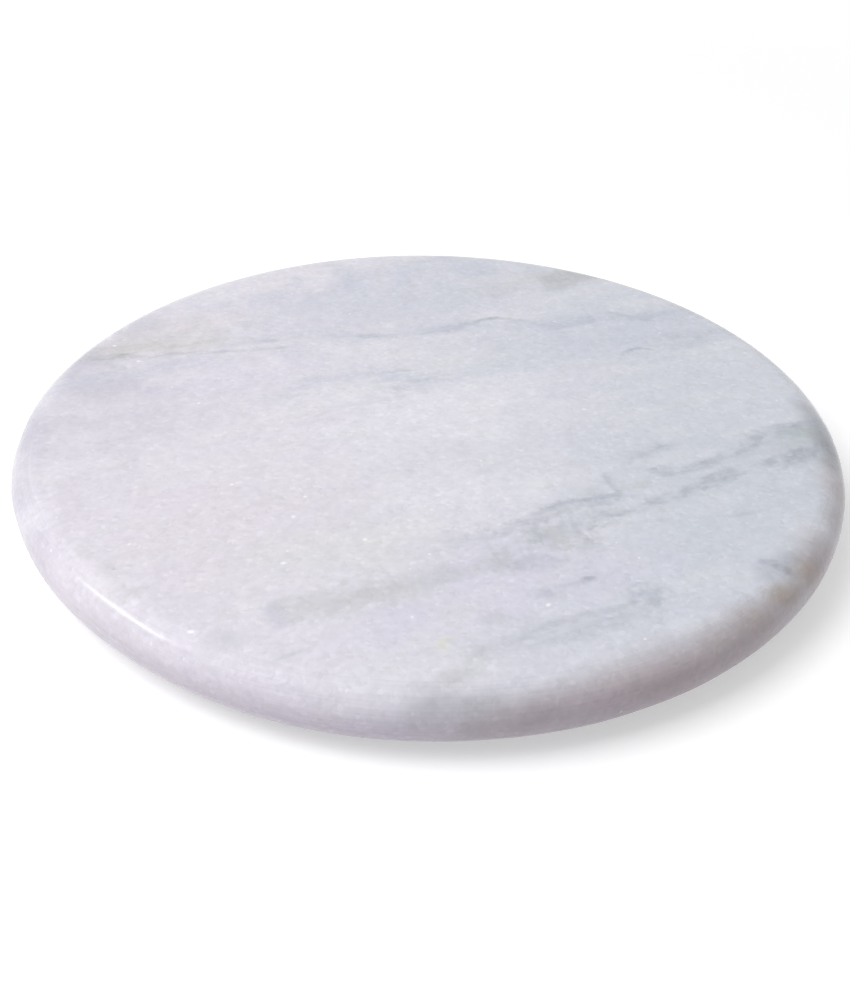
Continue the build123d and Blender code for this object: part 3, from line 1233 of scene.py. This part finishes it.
def foot_section(head_radius, foot_height):
    """Half of a foot's section, from the middle of its head round to the middle of its dish."""
    sole_radius = head_radius * foot_sole_share
    dish_radius = sole_radius - sole_ring_width
    flash_at = foot_height * flash_height_share

    def side(height):
        return sole_radius + (head_radius - sole_radius) * height / foot_height

    points = [(0, foot_height), (head_radius * 0.6, foot_height), (head_radius - head_edge, foot_height)]
    points += [(head_radius, foot_height - head_edge)]
    points += [(side(flash_at + flash), flash_at + flash), (side(flash_at) + flash, flash_at)]
    points += [(side(flash_at - flash), flash_at - flash)]
    for number in range(sole_edge_steps + 1):
        turn = math.pi / 2 * number / sole_edge_steps
        distance = side(sole_edge) - sole_edge * (1 - math.cos(turn))
        points.append((distance, sole_edge * (1 - math.sin(turn))))
    for share in groove_places_share:
        middle = dish_radius + sole_ring_width * share - groove_set_in
        points += [(middle + groove, 0), (middle + groove / 2, groove)]
        points += [(middle - groove / 2, groove), (middle - groove, 0)]
    points += [(dish_radius + dish_lip, 0), (dish_radius + lip_bend, lip_bend_height)]
    points += [(dish_radius, dish_slope), (dish_radius - dish_slope, sole_dish_depth)]
    points += [(nib_radius + nib_slope, sole_dish_depth), (nib_radius, sole_dish_depth - nib_edge)]
    points += [(0, sole_dish_depth - nib_height)]
    return points


places = ["front_left", "front_right", "back_left", "back_right"]
for place_name in places:
    low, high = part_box("foot_" + place_name)
    middle = (low + high) / 2
    foot = spun(foot_section((high.x - low.x) / 2, high.z - low.z), foot_segments)
    bmesh.ops.translate(foot, verts=foot.verts, vec=(middle.x, middle.y, low.z))
    finish_piece(foot, "rubber_foot_" + place_name, rubber, "foot_" + place_name)

# %% [markdown]
# ## Glue
# The feet are held by a beige stone adhesive, which was pressed out round each head into an
# uneven rim and set there. A drop of it is a spun disc whose edge is then pushed in and out by
# noise, more where it touches the stone than where it meets the rubber.

# %% The glue material
mixing_streak_mm = 2.5
bubbles_a_mm = 1.6
bubble_depth_mm = 0.05

glue, tree, shader = new_material("stone_glue")
place_mm = millimetres(tree)
mixed = speckle(tree, place_mm, 1 / mixing_streak_mm, 4.0, 0.6)
beige = layer(tree, step(tree, mixed, 0.3, 0.7), tone(196, 182, 152), tone(214, 203, 178))
glue_dust = place(tree, dust, {"Place": place_mm, "Amount": 0.5})["Dust"]
bubbles = cell_pattern(tree, place_mm, bubbles_a_mm)["Distance"]
raise_surface(tree, shader, times(tree, step(tree, bubbles, 0.12, 0.3), bubble_depth_mm))
fill_all(tree, shader, {
    "Base Color": layer(tree, glue_dust, beige, tone(170, 162, 148)),
    "Roughness": step(tree, mixed, 0.2, 0.8, 0.28, 0.5),
})

# %% Model the glue
glue_steps = 160
glue_bulge = 0.05 * MM
glue_slope = 0.25 * MM
glue_hem = 0.25 * MM
glue_tuck = 0.4 * MM
glue_wander_mm = 0.7
glue_wander_length_mm = 3.2
own_wander = Vector((0, 0, 7))

for place_name in places:
    low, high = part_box("glue_" + place_name)
    foot_low, foot_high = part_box("foot_" + place_name)
    middle = (low + high) / 2
    spread = (high.x - low.x) / 2
    head = (foot_high.x - foot_low.x) / 2
    thick = high.z - low.z
    outline = [(0, thick), (head * 0.8, thick), (spread, thick), (spread + glue_bulge, thick * 0.75)]
    outline += [(spread - glue_slope, thick * 0.35), (head + glue_hem, 0), (head - glue_tuck, 0), (0, 0)]
    drop = spun(outline, glue_steps)
    for point in drop.verts:
        if point.co.xy.length > head * 0.99:
            out = point.co.xy.normalized().to_3d()
            wander = noise.noise((point.co + middle) / MM / glue_wander_length_mm + own_wander)
            point.co += out * wander * glue_wander_mm * MM * (0.5 + point.co.z / thick / 2)
    bmesh.ops.translate(drop, verts=drop.verts, vec=(middle.x, middle.y, low.z))
    finish_piece(drop, "glue_bead_" + place_name, glue, "glue_" + place_name)
